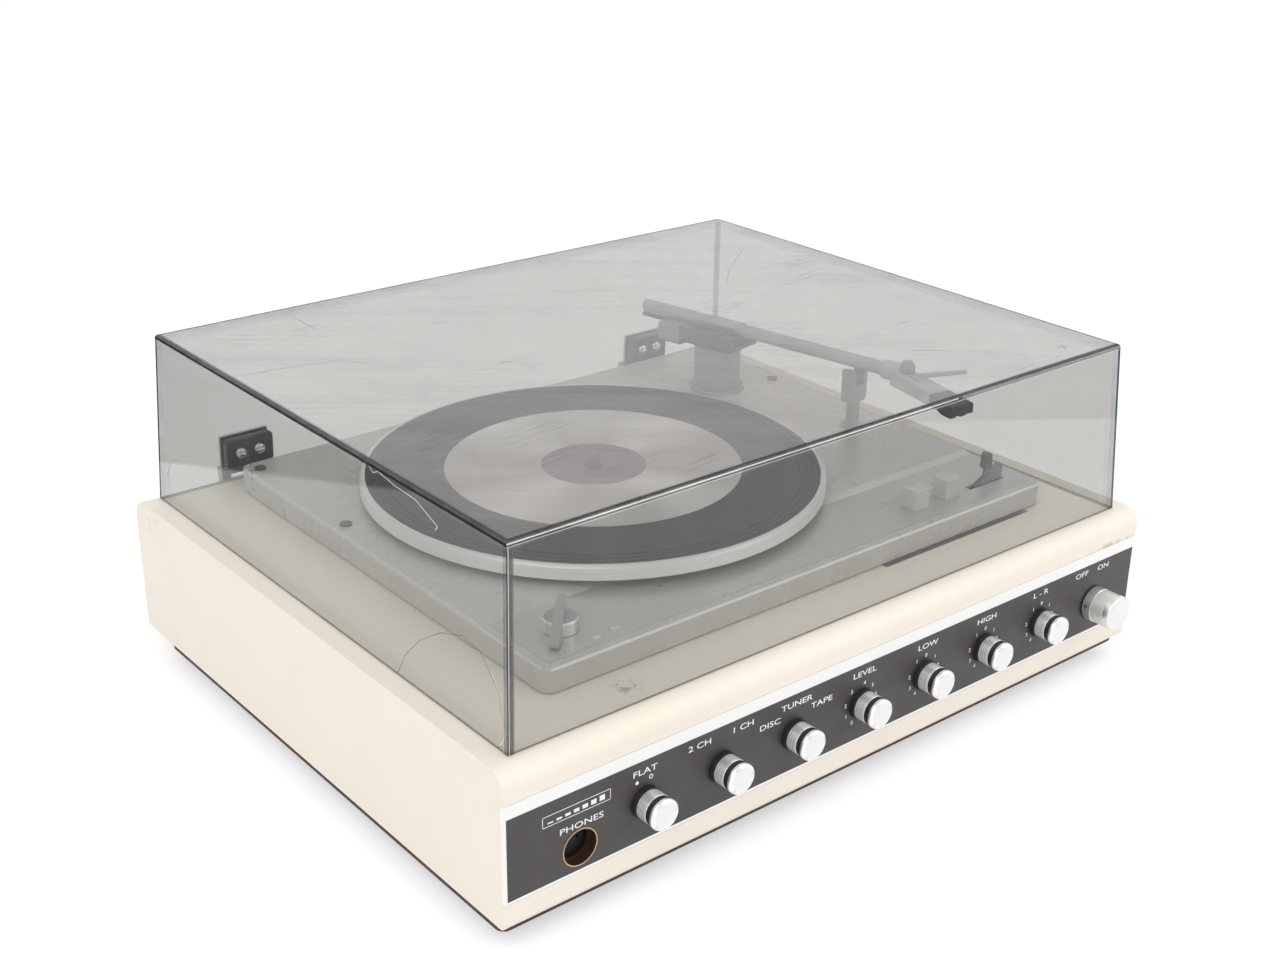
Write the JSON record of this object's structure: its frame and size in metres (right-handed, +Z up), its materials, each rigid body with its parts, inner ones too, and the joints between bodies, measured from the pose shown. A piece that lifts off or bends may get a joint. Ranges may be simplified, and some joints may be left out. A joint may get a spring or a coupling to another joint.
{
  "type": "stereo record player with built-in amplifier",
  "caption": "Low cream plinth with a front row of turned metal knobs, a belt-driven record deck with tone arm on top, and a hinged smoked clear dust cover.",
  "frame": {"origin": "centre of the bounding box at the level of the feet's undersides", "axes": "+X to the right along the control panel, +Y to the back, +Z up; the dust cover is closed and the tone arm is raised over its rest"},
  "size_m": [0.462, 0.4, 0.2012],
  "materials": {
    "case_shell": "cream foil over board, satin",
    "fibreboard": "dark hardboard, matt",
    "base_black": "moulded, matt",
    "foot_rubber": "matt",
    "screw_steel": "plated",
    "trim_silver": "satin silver, anodised",
    "face_grey": "dark grey, satin",
    "zinc_steel": "zinc plated",
    "socket_brass": "thin plated brass",
    "black_plastic": "moulded",
    "pot_steel": "plated can",
    "circuit_board": "bare laminate",
    "transformer_iron": "laminated iron, varnished",
    "hinge_metal": "black, satin",
    "deck_paint": "warm grey, gloss",
    "inlay_silver": "satin",
    "mount_rubber": "soft",
    "screw_chrome": "polished",
    "bearing_brass": "turned",
    "motor_steel": "plated can",
    "belt_rubber": "ground flat",
    "column_black": "satin black",
    "rest_black": "satin black",
    "platter_metal": "turned rim",
    "mat_rubber": "ribbed, matt",
    "ring_silver": "satin",
    "spindle_steel": "ground",
    "pulley_brass": "turned",
    "knob_black": "moulded",
    "button_grey": "moulded",
    "lever_chrome": "polished",
    "tip_black": "moulded",
    "yoke_metal": "dark grey",
    "saddle_black": "moulded",
    "arm_silver": "satin",
    "head_black": "moulded",
    "cartridge_black": "moulded",
    "lock_chrome": "polished",
    "lift_chrome": "polished",
    "weight_metal": "dense, plated dark",
    "knob_aluminium": "turned, satin and polished",
    "smoked_acrylic": "clear smoke brown",
    "bracket_black": "moulded"
  },
  "bodies": {
    "cabinet": {"plinth_top": "case_shell", "plinth_side_left": "case_shell", "plinth_side_right": "case_shell", "front_rail": "case_shell", "rear_panel": "fibreboard", "base_plate": "base_black", "feet": "foot_rubber", "foot_screws": "screw_steel", "control_trim": "trim_silver", "control_face": "face_grey", "control_chassis": "zinc_steel", "headphone_shell": "socket_brass", "headphone_insert": "black_plastic", "rotary_controls": "pot_steel", "amplifier_board": "circuit_board", "mains_transformer": "transformer_iron", "mains_inlet": "black_plastic", "rear_sockets": "black_plastic", "hinge_seats": "hinge_metal", "deck_plate": "deck_paint", "deck_inlay": "inlay_silver", "suspension_mounts": "mount_rubber", "deck_screws": "screw_chrome", "control_bracket": "zinc_steel", "platter_bearing": "bearing_brass", "drive_motor": "motor_steel", "drive_belt": "belt_rubber", "arm_column": "column_black", "arm_rest": "rest_black"},
    "turntable": {"platter": "platter_metal", "platter_mat": "mat_rubber", "mat_ring": "ring_silver", "platter_spindle": "spindle_steel"},
    "motor_rotor": {"motor_pulley": "pulley_brass"},
    "dust_cover": {"lid_cover": "smoked_acrylic", "lid_brackets": "bracket_black", "lid_hinge_leaves": "hinge_metal", "lid_screws": "screw_steel"},
    "arm_turret": {"arm_yoke": "yoke_metal"},
    "tonearm": {"arm_saddle": "saddle_black", "arm_tube": "arm_silver", "headshell": "head_black", "cartridge": "cartridge_black", "headshell_lock": "lock_chrome", "finger_lift": "lift_chrome"},
    "arm_weight": {"counterweight": "weight_metal"},
    "cue_control": {"cue_lever": "lever_chrome", "cue_tip": "tip_black"},
    "speed_control": {"speed_knob": "knob_black"},
    "start_control": {"start_button": "button_grey"},
    "stop_control": {"stop_button": "button_grey"},
    "filter_control": {"filter_knob": "knob_aluminium"},
    "mode_control": {"mode_knob": "knob_aluminium"},
    "source_control": {"source_knob": "knob_aluminium"},
    "level_control": {"level_knob": "knob_aluminium"},
    "low_control": {"low_knob": "knob_aluminium"},
    "high_control": {"high_knob": "knob_aluminium"},
    "balance_control": {"balance_knob": "knob_aluminium"},
    "power_control": {"power_knob": "knob_aluminium"}
  },
  "joints": [
    {"name": "lid_hinge", "type": "hinge", "parent": "cabinet", "child": "dust_cover", "pos_m": [0, 0.1946, 0.1026], "axis": [-1, 0, 0], "range_deg": [0, 65]},
    {"name": "platter_turn", "type": "hinge", "parent": "cabinet", "child": "turntable", "pos_m": [-0.023, 0.0225, 0.118], "axis": [0, 0, -1], "continuous": true},
    {"name": "motor_turn", "type": "hinge", "parent": "cabinet", "child": "motor_rotor", "pos_m": [-0.08703, 0.10445, 0.116], "axis": [0, 0, -1], "continuous": true},
    {"name": "arm_swing", "type": "hinge", "parent": "cabinet", "child": "arm_turret", "pos_m": [0.1425, 0.1001, 0.138], "axis": [0, 0, 1], "range_deg": [-52, 0]},
    {"name": "arm_lift", "type": "hinge", "parent": "arm_turret", "child": "tonearm", "pos_m": [0.1425, 0.1001, 0.152], "axis": [-0.9836, -0.1805, 0], "range_deg": [-5.5, 6]},
    {"name": "weight_slide", "type": "slide", "parent": "tonearm", "child": "arm_weight", "axis": [-0.1805, 0.9836, 0], "range_m": [0, 0.012]},
    {"name": "cue_swing", "type": "hinge", "parent": "cabinet", "child": "cue_control", "pos_m": [0.164, -0.117, 0.1], "axis": [0, -1, 0], "range_deg": [0, 24]},
    {"name": "speed_turn", "type": "hinge", "parent": "cabinet", "child": "speed_control", "pos_m": [-0.145, -0.108, 0.112], "axis": [0, 0, 1], "range_deg": [0, 85]},
    {"name": "start_press", "type": "slide", "parent": "cabinet", "child": "start_control", "axis": [0, 0, -1], "range_m": [0, 0.003], "stiffness_N_per_m": 300, "springref_m": -0.001},
    {"name": "stop_press", "type": "slide", "parent": "cabinet", "child": "stop_control", "axis": [0, 0, -1], "range_m": [0, 0.003], "stiffness_N_per_m": 300, "springref_m": -0.001},
    {"name": "filter_turn", "type": "hinge", "parent": "cabinet", "child": "filter_control", "pos_m": [-0.149, -0.178, 0.051], "axis": [0, 1, 0], "range_deg": [0, 40]},
    {"name": "mode_turn", "type": "hinge", "parent": "cabinet", "child": "mode_control", "pos_m": [-0.1, -0.178, 0.051], "axis": [0, 1, 0], "range_deg": [0, 45]},
    {"name": "source_turn", "type": "hinge", "parent": "cabinet", "child": "source_control", "pos_m": [-0.051, -0.178, 0.051], "axis": [0, 1, 0], "range_deg": [-35, 35]},
    {"name": "level_turn", "type": "hinge", "parent": "cabinet", "child": "level_control", "pos_m": [-0.002, -0.178, 0.051], "axis": [0, 1, 0], "range_deg": [0, 270]},
    {"name": "low_turn", "type": "hinge", "parent": "cabinet", "child": "low_control", "pos_m": [0.047, -0.178, 0.051], "axis": [0, 1, 0], "range_deg": [-135, 135]},
    {"name": "high_turn", "type": "hinge", "parent": "cabinet", "child": "high_control", "pos_m": [0.096, -0.178, 0.051], "axis": [0, 1, 0], "range_deg": [-135, 135]},
    {"name": "balance_turn", "type": "hinge", "parent": "cabinet", "child": "balance_control", "pos_m": [0.145, -0.178, 0.051], "axis": [0, 1, 0], "range_deg": [-135, 135]},
    {"name": "power_turn", "type": "hinge", "parent": "cabinet", "child": "power_control", "pos_m": [0.1946, -0.178, 0.048], "axis": [0, 1, 0], "range_deg": [0, 45]}
  ],
  "couplings": [
    {"joint": "motor_turn", "follows": "platter_turn", "ratio": 12}
  ]
}
